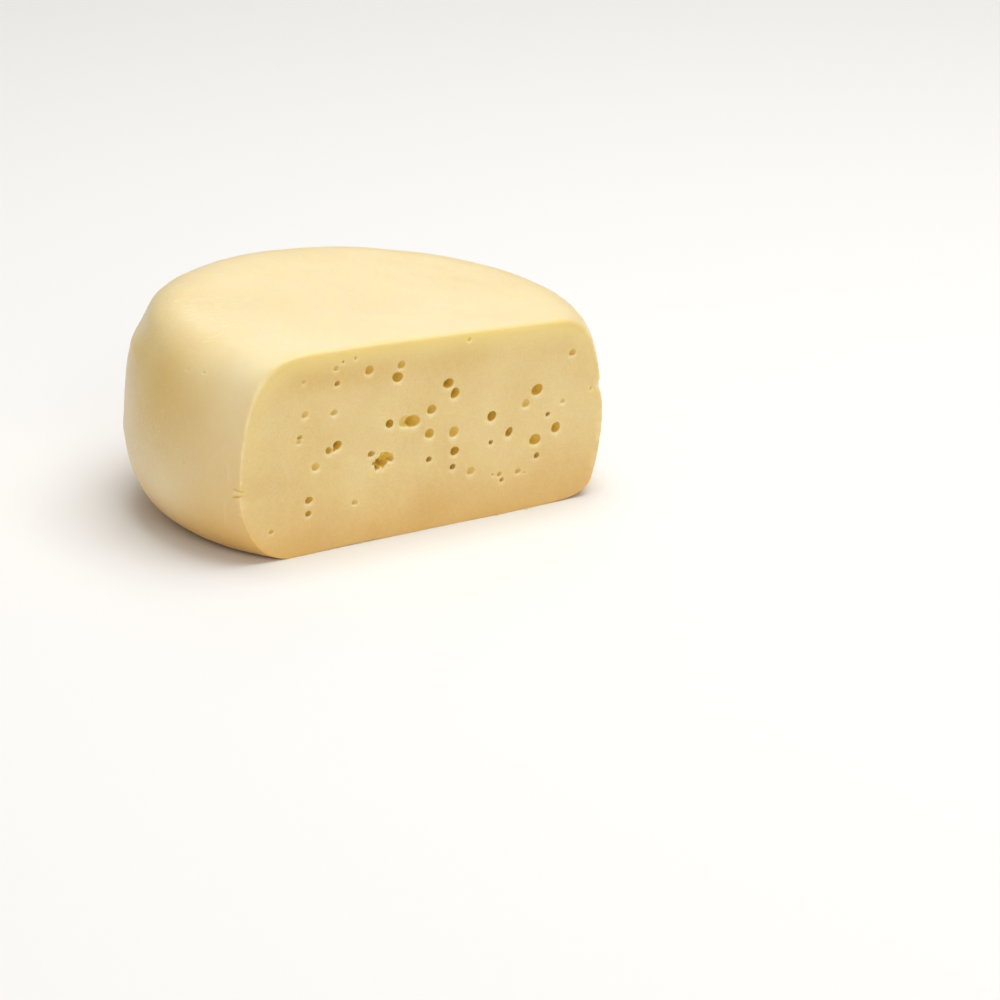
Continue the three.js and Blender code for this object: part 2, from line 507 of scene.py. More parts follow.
        # Painted light and shade among these: glow, eye and edge shade, foot bounce, highlights and sheen
        for tint, share, way in (
            (self.glow_colour, value["glow"], "MIX"),
            (self.pale_colour, pale, "MIX"),
            (self.hollow_shade_colour, value["deep"], "MIX"),
            (self.foot_bounce_and_band_tint, value["foot"], "MULTIPLY"),
            (self.eye_floor_shade_tint, value["floor"], "MULTIPLY"),
            (self.edge_shade_and_band_tint, value["edge_shade_and_band"], "MULTIPLY"),
            (self.warm_shade_tint, value["warm_shade"], "MULTIPLY"),
        ):
            colour = add_node(
                tree, "ShaderNodeMix", {"data_type": "RGBA", "blend_type": way}, {MIX_B: linear(tint)},
                {MIX_FACTOR: share, MIX_A: colour},
            ).outputs[MIX_RESULT]
        return colour

    def normal(self, tree: bpy.types.NodeTree, value: Sockets, noise: Sockets) -> bpy.types.NodeSocket:
        """Adds what is finer than the mesh: grain all over, dimples on the skin, drag lines on the cut.

        Args:
            tree: The material's node tree.
            value: The mesh's finish values.
            noise: Noise by the pattern's name.

        Returns:
            The normal with its fine relief.
        """
        bare = add_node(
            tree, "ShaderNodeMath", {"operation": "SUBTRACT"}, {0: 1.0}, {1: value["skin"]}
        ).outputs[0]
        normal = add_node(
            tree, "ShaderNodeBump", None, {"Strength": 1.0, "Distance": self.grain_height_mm * MM},
            {"Height": noise["grain"]},
        ).outputs["Normal"]
        for name, height, share in (
            ("peel", self.peel_height_mm, value["peel"]), ("drag", self.drag_height_mm, bare)
        ):
            normal = add_node(
                tree, "ShaderNodeBump", None, {"Distance": height * MM},
                {"Height": noise[name], "Strength": share, "Normal": normal},
            ).outputs["Normal"]
        return normal

    def material(self) -> bpy.types.Material:
        """Builds the material from the mesh's finish values and from noise at sizes in millimetres.

        Returns:
            The finished material.
        """
        material, tree = new_material(self.name)
        value = {
            name: add_node(tree, "ShaderNodeAttribute", {"attribute_name": name}).outputs["Fac"]
            for name in FINISH_VALUES
        }
        noise = self.patterns(tree)
        roughness = add_node(
            tree, "ShaderNodeMapRange", None,
            {"To Min": self.paste_roughness, "To Max": self.skin_roughness}, {"Value": value["skin"]},
        ).outputs["Result"]
        shader = add_node(
            tree, "ShaderNodeBsdfPrincipled", {"subsurface_method": "RANDOM_WALK"},
            {
                "IOR": self.ior,
                "Subsurface Weight": 1.0,
                "Subsurface Radius": self.scatter_mm,
                "Subsurface Scale": MM,
            },
            {
                "Base Color": self.colour(tree, value, noise),
                "Roughness": roughness,
                "Normal": self.normal(tree, value, noise),
            },
        )
        add_node(tree, "ShaderNodeOutputMaterial", None, None, {"Surface": shader.outputs["BSDF"]})
        return material


@dataclass(frozen=True)
class FloorFinish:
    """Matt white paint, rolled: a pale, nearly neutral sweep with no gloss of its own."""

    name: str = "matt_white_paint"
    colour: str = "#f1efec"
    roughness: float = 0.9
    specular: float = 0.1
    # Stipple that the roller left
    roller_mm: float = 4.0
    roller_height_mm: float = 0.02

    def material(self) -> bpy.types.Material:
        """Builds the paint, with the faint stipple of a roller.

        Returns:
            The finished material.
        """
        material, tree = new_material(self.name)
        place = add_node(tree, "ShaderNodeTexCoord").outputs["Object"]
        stipple = add_node(
            tree, "ShaderNodeTexNoise", None, {"Scale": per_metre(self.roller_mm)}, {"Vector": place}
        ).outputs["Fac"]
        bump = add_node(
            tree, "ShaderNodeBump", None, {"Distance": self.roller_height_mm * MM}, {"Height": stipple}
        ).outputs["Normal"]
        shader = add_node(
            tree, "ShaderNodeBsdfPrincipled", None,
            {
                "Base Color": linear(self.colour),
                "Roughness": self.roughness,
                "Specular IOR Level": self.specular,
            },
            {"Normal": bump},
        )
        add_node(tree, "ShaderNodeOutputMaterial", None, None, {"Surface": shader.outputs["BSDF"]})
        return material


@dataclass(frozen=True)
class Eye:
    """One gas eye: a ball in the curd that the knife opened."""

    across: float
    up: float
    width: float
    height: float
    tilt: float
    form: EyeForm
    wobble: tuple[float, float]
    unevenness: float
    torn: bool
    # Crags of a torn eye: their share of its form, their size and their draw
    tear: float = 0.09
    tear_mm: float = 2.0
    tear_seed: int = 23
    wall_power: float = 2.4  # how upright the wall stands where another eye lies near
    # Shares of the depth where the painted shade of the floor starts and is full, and how dark it is by form
    floor_range: tuple[float, float] = (0.72, 1.0)
    floor_by_form: Curve = ((0.42, 0.8), (0.0, 0.62))
    # The pressed lip: its depth round the rim and under the eye, where it is at most a share of the eye's,
    # its reach past the rim with what the rim's radius adds, and how deep an eye is whose lip takes the full
    # painted highlight
    lip_mm: float = 0.05
    low_lip_mm: float = 0.5
    low_lip_share: float = 1 / 3
    lip_reach: tuple[float, float] = (0.5, 0.18)
    full_lip_depth: float = 0.9
    # Rings of points that carry the form, as shares of the rim, closer on the wall than on the floor
    ring_shares: tuple[float, ...] = (
        0.2, 0.4, 0.58, 0.72, 0.83, 0.91, 0.96, 0.99, 1.02, 1.07, 1.15, 1.28, 1.45,
    )
    wall_share: float = 0.65
    wall_step: float = 0.38
    floor_step: float = 0.55
    fewest_points: int = 8
    ring_turn: float = 7.0  # turns the rings against each other

    @property
    def rim(self) -> float:
        """Mean radius of the opening."""
        return (self.width + self.height) / 4

    @property
    def depth(self) -> float:
        """Depth of the hollow behind the face."""
        return self.form.value * 2 * self.rim

    @property
    def ball(self) -> float:
        """Radius of the ball that has this rim and depth, as a share of the rim's radius."""
        deep = self.depth / self.rim
        return (1 + deep**2) / (2 * deep)

    @property
    def girth(self) -> float:
        """Widest radius of the eye: of its ball where that bellies out behind the face, or of its rim."""
        return max(self.width, self.height) / 2 * (self.ball if self.depth > self.rim else 1.0)

    @property
    def paleness(self) -> float:
        """How strong the painted highlight on its lip is: a shallow eye has hardly any lip."""
        return min(1.0, self.depth / self.full_lip_depth)

    @property
    def axes(self) -> np.ndarray:
        """Directions of the width and of the height, one row each."""
        cos, sin = math.cos(math.radians(self.tilt)), math.sin(math.radians(self.tilt))
        return np.array([[cos, sin], [-sin, cos]])

    def swell(self, angle: np.ndarray) -> np.ndarray:
        """How far the rim wanders in and out of its ellipse round it, in two lobes and in three."""
        return 1 + self.unevenness * (np.sin(2 * angle + self.wobble[0]) + np.sin(3 * angle + self.wobble[1]))

    def reach(self, places: np.ndarray) -> np.ndarray:
        """How far places lie from the middle, as a share of the way to the rim.

        Args:
            places: Across and up in millimetres, one row each.

        Returns:
            Zero in the middle, one on the rim.
        """
        along, over = ((places - (self.across, self.up)) @ self.axes.T * 2 / (self.width, self.height)).T
        share = np.hypot(along, over) / self.swell(np.arctan2(over, along))
        if self.torn:
            share *= 1 + self.tear * self.crags(places)
        return share

    def crags(self, places: np.ndarray) -> np.ndarray:
        """Rough relief of torn curd at places on the face."""
        return ripple(np.column_stack((places, np.zeros(len(places)))), self.tear_mm, self.tear_seed)

    def below(self, places: np.ndarray) -> np.ndarray:
        """How much places lie under the eye: one straight below its middle, zero beside or above it."""
        away = places - (self.across, self.up)
        return np.clip(-away[:, 1] / (np.linalg.norm(away, axis=1) + TINY), 0, 1)

    def lip(self, places: np.ndarray) -> np.ndarray:
        """Share of the soft lip round the rim: full inside the rim, fading out past it."""
        least, by_rim = self.lip_reach
        return bell(np.clip(self.reach(places) - 1, 0, None) * self.rim, least + by_rim * self.rim)

    def floor(self, depth: np.ndarray) -> np.ndarray:
        """Share of painted shade on the floor, which only a deep eye has.

        Args:
            depth: Depths in the eye in millimetres.

        Returns:
            One share for each depth.
        """
        low, high = self.floor_range
        share = np.clip((depth / self.depth - low) / (high - low), 0, 1)
        return np.interp(self.form.value, *self.floor_by_form) * share

    def hollow(self, places: np.ndarray, alone: bool) -> tuple[np.ndarray, np.ndarray]:
        """Depth of the eye at places on the face, and how far its wall bellies out behind the rim.

        Args:
            places: Across and up in millimetres, one row each.
            alone: True where no other eye lies near, so that the wall may be the ball's own.

        Returns:
            Depth with the lip, which the knife pressed down most under the eye, and moves across and up.
        """
        away = places - (self.across, self.up)
        share = np.clip(self.reach(places), 0, 1)
        move = np.zeros_like(away)
        if alone:
            turn = share * math.acos(1 - self.depth / self.rim / self.ball)
            inside = self.depth + self.rim * self.ball * (np.cos(turn) - 1)
            wider = self.ball * np.sin(turn) / np.maximum(share, TINY) - 1
            move = np.where((share > 0) & (share < 1), wider, 0)[:, None] * away
        else:
            inside = np.sqrt(1 - share**self.wall_power) * self.depth
        if self.torn:
            inside *= 1 + self.tear * self.crags(places)
        low_lip = min(self.low_lip_mm, self.low_lip_share * self.depth)
        lip_depth = self.lip_mm + (low_lip - self.lip_mm) * self.below(places)
        return inside + lip_depth * self.lip(places), move

    def ring_points(self) -> np.ndarray:
        """Points that carry the eye's form, on rings that close up towards its rim.

        Returns:
            Across and up in millimetres, one row each.
        """
        middle = np.array([[self.across, self.up]])
        rows = [middle]
        for share in self.ring_shares:
            step = self.wall_step if share > self.wall_share else self.floor_step
            count = max(self.fewest_points, round(2 * math.pi * self.rim * share / step))
            angle = np.linspace(0, 2 * math.pi, count, endpoint=False) + share * self.ring_turn
            ring = np.column_stack((np.cos(angle) * self.width, np.sin(angle) * self.height)) / 2
            rows.append(middle + (ring * (self.swell(angle) * share)[:, None]) @ self.axes)
        return np.vstack(rows)


@dataclass(frozen=True)
class Dent:
    """A broad flat in the side, where the wheel leaned while it was soft, or below zero a swelling."""

    bearing: float
    height: float
    along: float
    up: float
    depth: float
    least_radius: float = 1.0  # keeps the push finite at the axis

    def press(self, points: np.ndarray) -> np.ndarray:
        """Pushes points of the wheel in towards its axis.

        Args:
            points: Places on the wheel, one row each.

        Returns:
            The places with the dent.
        """
        angle = np.arctan2(points[:, 1], points[:, 0]) - math.radians(self.bearing)
        out = np.hypot(points[:, 0], points[:, 1])
        # The way round the rim, with the angle taken at most half a turn either way
        round_rim = out * np.angle(np.exp(1j * angle))
        share = bell(round_rim, self.along) * bell(points[:, 2] - self.height, self.up)
        pressed = points.copy()
        pressed[:, :2] *= (1 - self.depth * share / np.maximum(out, self.least_radius))[:, None]
        return pressed


@dataclass(frozen=True)
class Wheel:
    """The whole wheel before the knife, as turned and then settled under its own weight."""

    diameter: float = 195.0
    height: float = 83.15
    foot_diameter: float = 150.0  # the flat patch under the wheel
    belly_height: float = 30.5  # the widest ring stands low, because the soft wheel has settled
    side_power: float = 14.0  # superellipse powers from belly to top: how flat the top stays,
    shoulder_power: float = 2.3  # and how upright the side stays
    # Unevenness, with sides in degrees round from +X: the rise of the top at the rim on the tall side,
    # how far the top leans over from the belly, and how much squarer the shoulder is on its square side
    top_slope: float = 7.2
    tall_side: float = 131.0
    lean: float = 3.6
    lean_side: float = 80.0
    shoulder_spread: float = 0.39
    square_side: float = -33.0
    # The nick, with its reach above, below and back along the side
    nick_height: float = 46.5
    nick_depth: float = 1.5
    nick_reach: Point = (3.4, 5.2, 9.0)
    # Bearing, height, reach round the rim, reach up and depth of each, below zero for a swelling
    dents: tuple[Dent, ...] = (
        Dent(150.0, 74.8, 28.0, 6.2, 1.9),
        Dent(158.0, 53.0, 40.0, 13.0, 0.45),
        Dent(149.5, 68.3, 18.0, 2.2, -0.75),
        Dent(147.0, 34.5, 22.0, 3.0, -0.5),
        Dent(133.0, 84.0, 12.0, 4.0, -0.4),
        Dent(119.0, 84.0, 22.0, 4.0, -0.15),
        Dent(98.0, 85.0, 26.0, 5.0, -0.3),
        Dent(-30.0, 2.5, 30.0, 6.5, -3.6),
        Dent(-30.0, 22.0, 30.0, 8.0, 1.2),
    )
    # How finely the surface is divided
    segments: int = 416
    widest_step: float = 1.6
    most_halvings: int = 5
    ring_step: float = 1.5
    foot_ring_step: float = 3.0
    profile_steps: int = 1200

    def profile(self) -> np.ndarray:
        """Half section of the even wheel, from the middle of the foot to the middle of the top.

        Returns:
            Radius and height in millimetres, one row for each ring.
        """
        radius, foot = self.diameter / 2, self.foot_diameter / 2
        turn = np.linspace(0, math.pi / 2, self.profile_steps)
        bulge = np.column_stack(
            (foot + (radius - foot) * np.sin(turn), self.belly_height * (1 - np.cos(turn)))
        )
        out = np.clip(np.cos(turn), 0, None) ** (2 / self.side_power)
        rise = np.sin(turn) ** (2 / self.shoulder_power)
        crown = np.column_stack((radius * out, self.belly_height + (self.height - self.belly_height) * rise))
        crown[-1] = (0, self.height)
        fine = np.vstack(([[0, 0]], bulge, crown[1:]))
        run = np.concatenate(([0], np.cumsum(np.linalg.norm(np.diff(fine, axis=0), axis=1))))
        under = np.linspace(0, foot, round(foot / self.foot_ring_step))[:-1]
        over = np.linspace(foot, run[-1], round((run[-1] - foot) / self.ring_step))
        at = np.concatenate((under, over))
        return np.column_stack((np.interp(at, run, fine[:, 0]), np.interp(at, run, fine[:, 1])))

    def settle(self, points: np.ndarray) -> np.ndarray:
        """Moves points of the even wheel to their places on the uneven one.

        Args:
            points: Places on the even wheel, one row each.

        Returns:
            Places on the settled wheel.
        """
        radius, crown = self.diameter / 2, self.height - self.belly_height
        angle = np.arctan2(points[:, 1], points[:, 0])
        out = np.hypot(points[:, 0], points[:, 1])
        squareness = np.exp(self.shoulder_spread * np.cos(angle - math.radians(self.square_side)))
        out = np.where(points[:, 2] > self.belly_height, radius * (out / radius) ** (1 / squareness), out)
        tall = out / radius * np.cos(angle - math.radians(self.tall_side))
        lean = self.lean * (points[:, 2] - self.belly_height) / crown
        level = np.column_stack((out * np.cos(angle), out * np.sin(angle), np.zeros(len(out))))
        settled = level + lean[:, None] * bearing(self.lean_side)
        settled[:, 2] = points[:, 2] * (1 + self.top_slope / self.height * tall)
        return settled

    def nicked(self, points: np.ndarray, cut_offset: float) -> np.ndarray:
        """Presses the nick into the side where the cut's right-hand edge crosses it.

        Args:
            points: Places on the settled wheel, one row each.
            cut_offset: Distance of the cut from the wheel's axis.

        Returns:
            The same places, pushed in where the nick is.
        """
        above, under, along = self.nick_reach
        rise = points[:, 2] - self.nick_height
        share = np.clip(np.abs(rise) / np.where(rise > 0, above, under), 0, 1)
        back = np.clip(np.abs(points[:, 1] + cut_offset) / along, 0, 1)
        push = self.nick_depth * np.cos(share * math.pi / 2) ** 2 * np.cos(back * math.pi / 2) ** 2
        pressed = points.copy()
        pressed[:, 0] -= np.where(points[:, 0] > 0, push, 0)
        return pressed

    def skin(self, cut_offset: float) -> tuple[np.ndarray, list[Face]]:
        """The whole wheel's surface, with fewer segments in the smaller rings.

        Args:
            cut_offset: Distance of the cut from the wheel's axis.

        Returns:
            Points in millimetres, and faces as indices into them.
        """
        rows, rings = [np.zeros((1, 3))], []
        used = 1
        for radius, height in self.profile()[1:-1]:
            halvings = math.floor(math.log2(self.widest_step * self.segments / (2 * math.pi * radius)))
            count = self.segments >> min(max(halvings, 0), self.most_halvings)
            angle = np.linspace(0, 2 * math.pi, count, endpoint=False)
            level = np.full(count, height)
            rows.append(np.column_stack((radius * np.cos(angle), radius * np.sin(angle), level)))
            rings.append(list(range(used, used + count)))
            used += count
        points = self.settle(np.vstack((*rows, [[0, 0, self.height]])))
        for dent in self.dents:
            points = dent.press(points)
        points = self.nicked(points, cut_offset)
        first, last = rings[0], rings[-1]
        faces: list[Face] = [(0, k, j) for j, k in zip(first, first[1:] + first[:1])]
        faces += [(j, k, used) for j, k in zip(last, last[1:] + last[:1])]
        for low, high in zip(rings, rings[1:]):
            faces += band(low, high)
        return points, faces


@dataclass
class CutEdge:
    """The line where the skin meets the cut, which handling has rounded, with painted light and shade along
    it.
    """

    line: np.ndarray
    skin_normals: np.ndarray
    # Curves by lift, which is one along the top, zero on the upright edges and minus one at the foot: the
    # radius that handling gave, the painted glow, the painted shade, and how far the skin's look comes over
    # onto the cut
    radius_by_lift: Curve = ((-1, -0.6, -0.15, 0.05, 0.35, 0.7, 1), (0.22, 0.25, 0.4, 0.9, 2.4, 3.3, 3.4))
    glow_by_lift: Curve = ((-1, -0.5, 0, 0.6, 1), (0, 0, 0.14, 0.7, 1))
    shade_by_lift: Curve = ((-1, 0.5, 0.85, 1), (0, 0, 0.7, 0.8))
    fade_by_lift: Curve = ((-1, 0, 0.6, 1), (0.4, 0.4, 1.0, 1.5))
    # Curves by height: how strong the painted highlight is along the left and the right edge
    left_highlight: Curve = ((20, 21.5, 29, 31, 37, 44, 47, 74, 82), (0, 0.8, 0.8, 0.2, 0.3, 0.4, 1, 1, 0.3))
    right_highlight: Curve = ((6, 14, 74, 80), (0.3, 1.1, 1.1, 0.5))
    face_normal: Point = (0.0, -1.0, 0.0)
    most_cos: float = 0.95  # keeps the rounding finite where skin and cut lie nearly in one plane
    # Reach of the painted glow on the cut, how much weaker it is at the very edge and over what reach, reach
    # of the painted shade, and reach and strength of the painted glow on the skin
    cut_glow_mm: float = 6.5
    edge_shade: float = 0.6
    edge_shade_mm: float = 1.4
    shade_mm: float = 2.2
    skin_glow_mm: float = 2.2
    skin_glow: float = 0.35
    # Half width of the pale line painted as a highlight along the upright edges, by height, and its strength
    highlight_by_height: Curve = ((18, 22, 29, 32), (0.6, 1.2, 1.2, 0.6))
    highlight_strength: float = 0.6
    # The painted highlight comes in patches: their size, draw, mean and swing, and the least and most of it
    highlight_patch_mm: float = 4.0
    highlight_seed: int = 17
    highlight_mean: float = 0.75
    highlight_swing: float = 0.45
    highlight_limits: tuple[float, float] = (0.1, 1.2)

    def __post_init__(self) -> None:
        """Works out how far the rounding reaches along the line, and how the edge looks there."""
        self.outline = self.line[:, [0, 2]]
        run = unit(np.roll(self.outline, -1, axis=0) - np.roll(self.outline, 1, axis=0))
        self.inward = np.column_stack((-run[:, 1], run[:, 0]))
        lift = -self.inward[:, 1]
        self.radius = np.interp(lift, *self.radius_by_lift)
        cos = np.clip(self.skin_normals @ np.array(self.face_normal), -self.most_cos, self.most_cos)
        self.reach = self.radius * np.sqrt((1 - cos) / (1 + cos))
        self.glow_share = np.interp(lift, *self.glow_by_lift)
        patches = self.highlight_mean + self.highlight_swing * ripple(self.line, self.highlight_patch_mm, self.highlight_seed)
        upright = 1 - np.clip(np.abs(lift), 0, 1)
        left, right = (np.interp(self.outline[:, 1], *curve) for curve in (self.left_highlight, self.right_highlight))
        highlight_by_side = np.where(self.outline[:, 0] < 0, left, right)
        self.highlight_share = np.clip(patches, *self.highlight_limits) * upright * highlight_by_side
        self.skin_fade = np.interp(lift, *self.fade_by_lift)
        self.shade_share = np.interp(lift, *self.shade_by_lift)
        self.highlight_mm = np.interp(self.outline[:, 1], *self.highlight_by_height)

    def roll(self, gaps: np.ndarray, which: np.ndarray, on_skin: bool) -> np.ndarray:
        """How the rounding moves points near the line.

        Args:
            gaps: Distances of the points from the line.
            which: Indices of the line's nearest points.
            on_skin: True for points of the skin, False for points of the cut.

        Returns:
            One move in millimetres for each point.
        """
        skin = self.skin_normals[which]
        face = np.broadcast_to(self.face_normal, skin.shape)
        cos = np.clip((skin * face).sum(axis=1), -self.most_cos, self.most_cos)[:, None]
        radius, reach = self.radius[which][:, None], self.reach[which][:, None]
        share = np.clip(gaps[:, None] / reach, 0, 1)
        own, other = (skin, face) if on_skin else (face, skin)
        half = np.arccos(cos) / 2
        middle = unit(own + other)
        lean = half * share
        sideways = unit(own - middle * (own * middle).sum(axis=1, keepdims=True))
        arc = middle * np.cos(lean) + sideways * np.sin(lean)
        away = (cos * own - other) / np.sqrt(1 - cos**2)
        move = radius * (arc - (own + other) / (1 + cos)) - share * reach * away
        return np.where(gaps[:, None] < reach, move, 0)

    def glow(self, gaps: np.ndarray, which: np.ndarray, on_skin: bool) -> np.ndarray:
        """Share of the painted glow, the deeper yellow that light gives the thin edge.

        Args:
            gaps: Distances of the points from the line.
            which: Indices of the line's nearest points.
            on_skin: True for points of the skin, False for points of the cut.

        Returns:
            One share for each point.
        """
        if on_skin:
            return self.skin_glow * bell(gaps, self.skin_glow_mm) * self.glow_share[which]
        past_edge = 1 - self.edge_shade * bell(gaps, self.edge_shade_mm)
        return bell(gaps, self.cut_glow_mm) * past_edge * self.glow_share[which]

    def shade(self, gaps: np.ndarray, which: np.ndarray) -> np.ndarray:
        """Share of painted shade on the rounding, which keeps it from outshining the top, for points as in
        roll.
        """
        return bell(gaps, self.shade_mm) * self.shade_share[which]

    def edge_highlight(self, gaps: np.ndarray, which: np.ndarray) -> np.ndarray:
        """Share of the painted highlight on the upright edges' rounding, for points as in roll."""
        return self.highlight_strength * bell(gaps, self.highlight_mm[which]) * self.highlight_share[which]


@dataclass
class CutFace:
    """The flat face that the knife left, with its eyes."""

    offset: float = 46.0  # from the wheel's axis
    # Points of the mesh: on lattices, at marks, clear of edge and eyes, and on rings along the rounded edge
    lattice_step: float = 1.5
    mark_step: float = 0.3
    mark_reach: float = 1.5
    edge_clearance: float = 3.2
    eye_clearance: float = 1.7
    ring_shares: tuple[float, ...] = (0.14, 0.32, 0.52, 0.75, 1.0, 1.35)
    plan_tolerance: float = 1e-4  # the triangulation's test of nearness
    # Depth over which painted shade turns an eye's wall deep yellow, by form, and where that starts
    deep_by_form: Curve = ((0.3, 0.54, 0.8), (1.5, 1.0, 0.75))
    deep_start: float = 0.22
    # Eyes melt together where they are about equally deep, and one with this much curd round it is alone
    merge_depth: float = 1.0
    merge_share: float = 0.25
    wall_mm: float = 0.35
    # The painted highlight on the lip under an eye, and the share of the way to the rim where it starts
    lip_highlight: float = 1.0
    lip_power: float = 1.5
    lip_start: float = 0.98
    # How much of the skin's relief is left on the face, past its edge
    relief_fade: float = 2.0
    relief_left: float = 0.3
    # Painted warm shade on the edge, and the darker band that lies a gap below it
    warm_shade_share: float = 0.25
    band_share: float = 0.3
    tan_share: float = 0.38
    band_by_across: Curve = ((-60, 0, 50), (1, 0.7, 0.5))
    band_gap: float = 11.0
    band_mm: float = 7.0
    seed: int = 7
    eye_unevenness: float = 0.025
    torn_unevenness: float = 0.06
    eyes: list[Eye] = field(default_factory=list)

    def __post_init__(self) -> None:
        """Draws each eye's unevenness."""
        draw = np.random.default_rng(self.seed)
        for table, torn in ((EYES, False), (TORN_EYE, True)):
            unevenness = self.torn_unevenness if torn else self.eye_unevenness
            for form, rows in table.items():
                for row in rows:
                    wobble = tuple(draw.uniform(0, 2 * math.pi, size=2))
                    self.eyes.append(Eye(*row, form, wobble, unevenness, torn))

    def is_alone(self, eye: Eye) -> bool:
        """Tells whether an eye stays clear of all others behind the face too.

        Args:
            eye: One of the face's eyes.

        Returns:
            True where no other eye lies near.
        """
        return all(
            math.hypot(eye.across - other.across, eye.up - other.up) > eye.girth + other.girth + self.wall_mm
            for other in self.eyes
            if other is not eye
        )

    def plan_points(self, edge: CutEdge, marks: list["Mark"]) -> np.ndarray:
        """Points inside the outline: along its rounded edge, at eyes and marks, and on a lattice between.

        Args:
            edge: The line round the face.
            marks: Marks that may cross the face.

        Returns:
            Across and up in millimetres, one row each.
        """
        rings = [edge.outline + edge.inward * (edge.reach * share)[:, None] for share in self.ring_shares]
        eyes = np.vstack([eye.ring_points() for eye in self.eyes])
        lattice = self.lattice(edge, self.lattice_step)
        clear = np.min([eye.reach(lattice) for eye in self.eyes], axis=0) > self.eye_clearance
        gap, _ = nearest_on_loop(lattice, edge.outline)
        lattice = lattice[clear & (gap > self.edge_clearance) & self.within(lattice, edge.outline)]
        fine = self.lattice(edge, self.mark_step)
        flat = np.column_stack((fine[:, 0], np.full(len(fine), -self.offset), fine[:, 1]))
        fine = fine[np.min([mark.distance(flat) for mark in marks], axis=0) < self.mark_reach]
        gap, _ = nearest_on_loop(fine, edge.outline)
        fine = fine[(gap > self.mark_reach) & self.within(fine, edge.outline)]
        return np.vstack((*rings, eyes, lattice, fine))

    def lattice(self, edge: CutEdge, step: float) -> np.ndarray:
        """Points on a lattice of triangles over the face's box.

        Args:
            edge: The line round the face.
            step: Distance between neighbours.

        Returns:
            Across and up in millimetres, one row each.
        """
        low, high = edge.outline.min(axis=0), edge.outline.max(axis=0)
        rows = np.arange(low[1], high[1], step * math.sqrt(3) / 2)
        columns = np.arange(low[0], high[0], step)
        across = columns[None, :] + (np.arange(len(rows)) % 2)[:, None] * step / 2
        return np.column_stack((across.ravel(), np.repeat(rows, len(columns))))

    def within(self, places: np.ndarray, outline: np.ndarray) -> np.ndarray:
        """Tells which places lie inside the outline.

        Args:
            places: Across and up in millimetres, one row each.
            outline: Across and up of the border in order.

        Returns:
            One truth value for each place.
        """
        inside = np.zeros(len(places), dtype=bool)
        for (x0, z0), (x1, z1) in zip(outline, np.roll(outline, -1, axis=0)):
            if z0 == z1:
                continue
            crosses = (places[:, 1] > min(z0, z1)) & (places[:, 1] <= max(z0, z1))
            inside ^= crosses & (places[:, 0] < x0 + (places[:, 1] - z0) / (z1 - z0) * (x1 - x0))
        return inside

    def form(self, places: np.ndarray, edge: CutEdge) -> tuple[np.ndarray, Values]:
        """Points and finish values of the face.

        Args:
            places: Across and up in millimetres, one row each.
            edge: The line round the face.

        Returns:
            Points in millimetres, and values by name with the share of the relief.
        """
        gap, which = nearest_on_loop(places, edge.outline)
        hollow = np.zeros(len(places))
        belly = np.zeros_like(places)
        lip, floor, deep = (np.zeros(len(places)) for _ in range(3))
        nearest = np.full(len(places), np.inf)
        for eye in self.eyes:
            depth, move = eye.hollow(places, self.is_alone(eye))
            belly += move
            # Painted shade on the floors of deep eyes, and painted shade that turns their walls deep yellow
            floor = np.maximum(floor, eye.floor(depth))
            turns_deep = np.interp(eye.form.value, *self.deep_by_form)
            deep = np.maximum(deep, 1 - np.exp(-np.clip(depth - self.deep_start, 0, None) / turns_deep))
            soft = np.clip(1 - np.abs(depth - hollow) / self.merge_depth, 0, 1) ** 2
            hollow = np.maximum(depth, hollow) + self.merge_share * soft * np.minimum(depth, hollow)
            # Painted highlight on the lip under the eye
            lip = np.maximum(lip, eye.lip(places) * eye.below(places) ** self.lip_power * eye.paleness)
            nearest = np.minimum(nearest, eye.reach(places))
        lip = np.where(nearest > self.lip_start, lip, 0)
        # Painted shade on the rounded edge, and a darker band a gap below the upper edge
        shade = edge.shade(gap, which)
        under_edge = bell(gap - self.band_gap, self.band_mm) * edge.glow_share[which]
        under_edge *= np.interp(places[:, 0], *self.band_by_across)
        spots = places + belly
        points = np.column_stack((spots[:, 0], hollow - self.offset, spots[:, 1]))
        points += edge.roll(gap, which, on_skin=False)
        return points, no_finish(len(places)) | {
            "skin": bell(gap, edge.skin_fade[which]),
            "deep": deep,
            "glow": edge.glow(gap, which, on_skin=False),
            "pale": np.maximum(self.lip_highlight * lip, edge.edge_highlight(gap, which)),
            "floor": floor,
            "foot": self.tan_share * under_edge,
            "edge_shade_and_band": np.maximum(self.band_share * under_edge, shade),
            "warm_shade": self.warm_shade_share * shade,
            "relief": np.maximum(bell(gap, self.relief_fade), self.relief_left),
        }

    def triangles(self, edge: CutEdge, marks: list["Mark"]) -> tuple[np.ndarray, list[Face], np.ndarray]:
        """Divides the face into triangles that keep the outline's own points.

        Args:
            edge: The line round the face.
            marks: Marks that may cross the face.

        Returns:
            Points across and up, triangles as indices, and for each point its index in the outline or -1.
        """
        places = np.vstack((edge.outline, self.plan_points(edge, marks)))
        count = len(edge.outline)
        border = [(i, (i + 1) % count) for i in range(count)]
        made, _, faces, source, _, _ = delaunay_2d_cdt(
            [Vector(place) for place in places], border, [], INSIDE_ONLY, self.plan_tolerance
        )
        first = np.array([min(s) if s else count for s in source])
        kept = np.where(first < count, first, -1)
        return np.array([(p.x, p.y) for p in made]), list(map(tuple, faces)), kept


